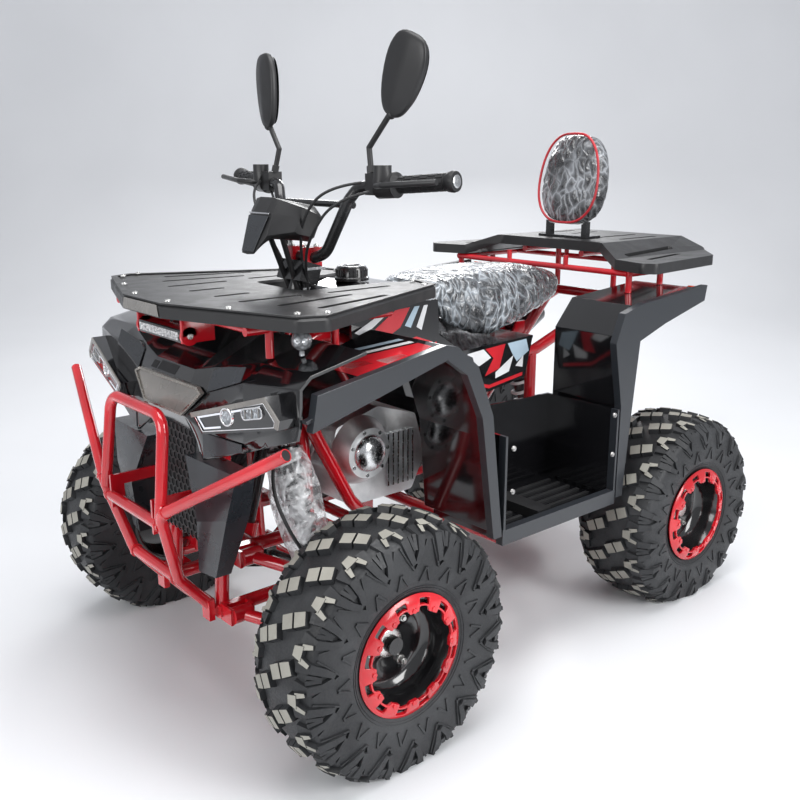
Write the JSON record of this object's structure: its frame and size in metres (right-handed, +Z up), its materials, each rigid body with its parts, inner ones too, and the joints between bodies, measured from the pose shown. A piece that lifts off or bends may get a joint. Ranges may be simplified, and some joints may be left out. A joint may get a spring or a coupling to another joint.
{
  "type": "quad bike",
  "caption": "Petrol quad bike with balloon tyres, a tubular bumper, two carrier racks, footwells, a padded seat and a backrest; its wheels turn and its handlebar steers.",
  "frame": {"origin": "on the floor, half way between the front bumper and the tail of the rear rack, in the middle plane", "axes": "+X to the vehicle's left, -Y ahead, +Z up"},
  "size_m": [1.0162, 1.5176, 1.2913],
  "materials": {
    "red_paint": "gloss red powder coat",
    "dark_paint": "satin black paint",
    "spring_steel": "bare and plated steel",
    "tyre_rubber": "black rubber",
    "rim_paint": "gloss black rim with a red ring",
    "satin_plastic": "satin black moulding",
    "gloss_plastic": "gloss black moulding",
    "silver_plastic": "silver painted moulding",
    "lamp_plastic": "clear lens over a black housing",
    "red_lens": "red lens",
    "engine_alloy": "cast aluminium",
    "peg_metal": "dark serrated plate",
    "grip_rubber": "moulded rubber",
    "vinyl": "black vinyl under clear film"
  },
  "bodies": {
    "chassis": {"frame": "red_paint", "front_arms_left": "red_paint", "front_arms_right": "red_paint", "front_shocks": "spring_steel", "bumper": "red_paint", "front_rack": "satin_plastic", "rear_rack": "satin_plastic", "rack_mounts": "red_paint", "nose_cowl": "gloss_plastic", "nose_plate": "silver_plastic", "grille": "satin_plastic", "headlights": "lamp_plastic", "front_fenders": "gloss_plastic", "footwell_left": "satin_plastic", "footwell_right": "satin_plastic", "foot_pegs": "peg_metal", "rear_fenders": "gloss_plastic", "tank_cover": "gloss_plastic", "seat": "vinyl", "backrest": "vinyl", "backrest_bracket": "dark_paint", "engine": "engine_alloy", "exhaust": "dark_paint", "swingarm": "red_paint", "rear_shock": "spring_steel", "tail_lamps": "red_lens", "turn_signals": "lamp_plastic"},
    "steering": {"steering_column": "dark_paint", "handlebar": "dark_paint", "grips": "grip_rubber", "controls": "satin_plastic", "lamp_pod": "satin_plastic", "mirrors": "satin_plastic"},
    "left_knuckle": {"knuckle_left": "dark_paint"},
    "right_knuckle": {"knuckle_right": "dark_paint"},
    "left_tie_rod": {"tie_rod_left": "dark_paint"},
    "right_tie_rod": {"tie_rod_right": "dark_paint"},
    "left_front_wheel": {"front_tyre_left": "tyre_rubber", "front_rim_left": "rim_paint"},
    "right_front_wheel": {"front_tyre_right": "tyre_rubber", "front_rim_right": "rim_paint"},
    "rear_wheels": {"rear_axle": "spring_steel", "rear_tyres": "tyre_rubber", "rear_rims": "rim_paint"}
  },
  "joints": [
    {"name": "steer", "type": "hinge", "parent": "chassis", "child": "steering", "pos_m": [0, -0.352, 0.853], "axis": [0, 0.2756, 0.9613], "range_deg": [-33, 33]},
    {"name": "left_kingpin", "type": "hinge", "parent": "chassis", "child": "left_knuckle", "pos_m": [0.33, -0.482, 0.247], "axis": [0, 0, 1], "range_deg": [-30, 30]},
    {"name": "left_tie_rod_pivot", "type": "hinge", "parent": "left_knuckle", "child": "left_tie_rod", "pos_m": [0.3, -0.409, 0.2703], "axis": [0, 0, 1], "range_deg": [-30, 30]},
    {"name": "left_front_wheel_spin", "type": "hinge", "parent": "left_knuckle", "child": "left_front_wheel", "pos_m": [0.4247, -0.482, 0.2415], "axis": [1, 0, 0], "continuous": true},
    {"name": "right_kingpin", "type": "hinge", "parent": "chassis", "child": "right_knuckle", "pos_m": [-0.33, -0.482, 0.247], "axis": [0, 0, 1], "range_deg": [-30, 30]},
    {"name": "right_tie_rod_pivot", "type": "hinge", "parent": "right_knuckle", "child": "right_tie_rod", "pos_m": [-0.3, -0.409, 0.2703], "axis": [0, 0, 1], "range_deg": [-30, 30]},
    {"name": "right_front_wheel_spin", "type": "hinge", "parent": "right_knuckle", "child": "right_front_wheel", "pos_m": [-0.4247, -0.482, 0.2415], "axis": [1, 0, 0], "continuous": true},
    {"name": "rear_axle_spin", "type": "hinge", "parent": "chassis", "child": "rear_wheels", "pos_m": [0, 0.482, 0.239], "axis": [1, 0, 0], "continuous": true}
  ],
  "couplings": [
    {"joint": "left_kingpin", "follows": "steer", "ratio": 0.9},
    {"joint": "left_tie_rod_pivot", "follows": "steer", "ratio": -0.9},
    {"joint": "right_kingpin", "follows": "steer", "ratio": 0.9},
    {"joint": "right_tie_rod_pivot", "follows": "steer", "ratio": -0.9}
  ]
}
